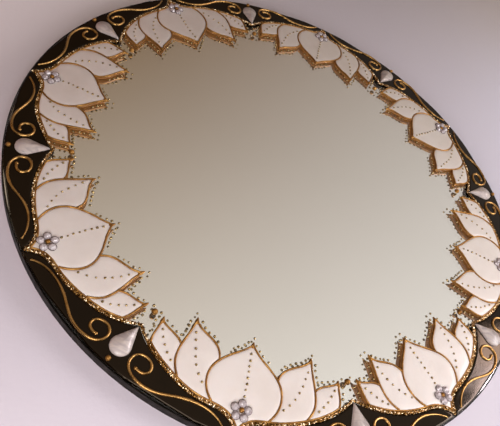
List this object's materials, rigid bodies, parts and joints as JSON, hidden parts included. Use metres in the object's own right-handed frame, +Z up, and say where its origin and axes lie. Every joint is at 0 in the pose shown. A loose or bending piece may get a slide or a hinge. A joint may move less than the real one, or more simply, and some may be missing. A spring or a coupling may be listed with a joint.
{
  "type": "decorated round wall mirror",
  "caption": "Round wall mirror with a low-relief border of white lotus flowers, glossy black panels, pearl drops and crystal flowers, hung from two ring hangers.",
  "frame": {"origin": "centre of the disc on the plane of the wall, where the wall pads touch", "axes": "+Z up the wall, +Y into the wall, so the mirror faces -Y; +X to the right of somebody who looks into it"},
  "size_m": [0.4009, 0.0168, 0.401],
  "materials": {
    "mirror": "polished silvered float glass",
    "hardboard": "smooth brown hardboard, textured on the back",
    "black_edge": "satin black",
    "black_gloss": "high gloss black",
    "brass": "aged antique gold, satin",
    "gold_glitter": "beaded, sparkling gold",
    "white_enamel": "glossy off-white enamel",
    "pearl": "pearly, soft satin",
    "crystal": "clear cut crystal with a foiled back",
    "plated_steel": "dull nickel plate",
    "rubber": "matte black"
  },
  "bodies": {
    "disc": {"backing_board": "hardboard", "mirror_glass": "mirror", "edge_band": "black_edge", "border_panel_1": "black_gloss", "border_panel_2": "black_gloss", "border_panel_3": "black_gloss", "border_panel_4": "black_gloss", "border_panel_5": "black_gloss", "border_panel_6": "black_gloss", "border_panel_7": "black_gloss", "border_panel_8": "black_gloss", "lotus_frame_1": "brass", "lotus_frame_2": "brass", "lotus_frame_3": "brass", "lotus_frame_4": "brass", "lotus_frame_5": "brass", "lotus_frame_6": "brass", "lotus_frame_7": "brass", "lotus_frame_8": "brass", "centre_petal_1": "white_enamel", "centre_petal_2": "white_enamel", "centre_petal_3": "white_enamel", "centre_petal_4": "white_enamel", "centre_petal_5": "white_enamel", "centre_petal_6": "white_enamel", "centre_petal_7": "white_enamel", "centre_petal_8": "white_enamel", "side_petals_1": "white_enamel", "side_petals_2": "white_enamel", "side_petals_3": "white_enamel", "side_petals_4": "white_enamel", "side_petals_5": "white_enamel", "side_petals_6": "white_enamel", "side_petals_7": "white_enamel", "side_petals_8": "white_enamel", "crystal_flower_1": "crystal", "crystal_flower_2": "crystal", "crystal_flower_3": "crystal", "crystal_flower_4": "crystal", "crystal_flower_5": "crystal", "crystal_flower_6": "crystal", "crystal_flower_7": "crystal", "crystal_flower_8": "crystal", "rope_edging": "gold_glitter", "panel_scrolls": "brass", "teardrops": "pearl", "gold_beads": "brass", "mirror_dots": "brass", "petal_dots": "brass", "strap_left": "plated_steel", "strap_right": "plated_steel", "hanger_screws": "plated_steel", "wall_pads": "rubber"},
    "left_ring": {"ring_left": "plated_steel"},
    "right_ring": {"ring_right": "plated_steel"}
  },
  "joints": [
    {"name": "left_ring_hinge", "type": "hinge", "parent": "disc", "child": "left_ring", "pos_m": [-0.095, -0.0027, 0.112], "axis": [1, 0, 0], "range_deg": [0, 180]},
    {"name": "right_ring_hinge", "type": "hinge", "parent": "disc", "child": "right_ring", "pos_m": [0.095, -0.0027, 0.112], "axis": [1, 0, 0], "range_deg": [0, 180]}
  ]
}
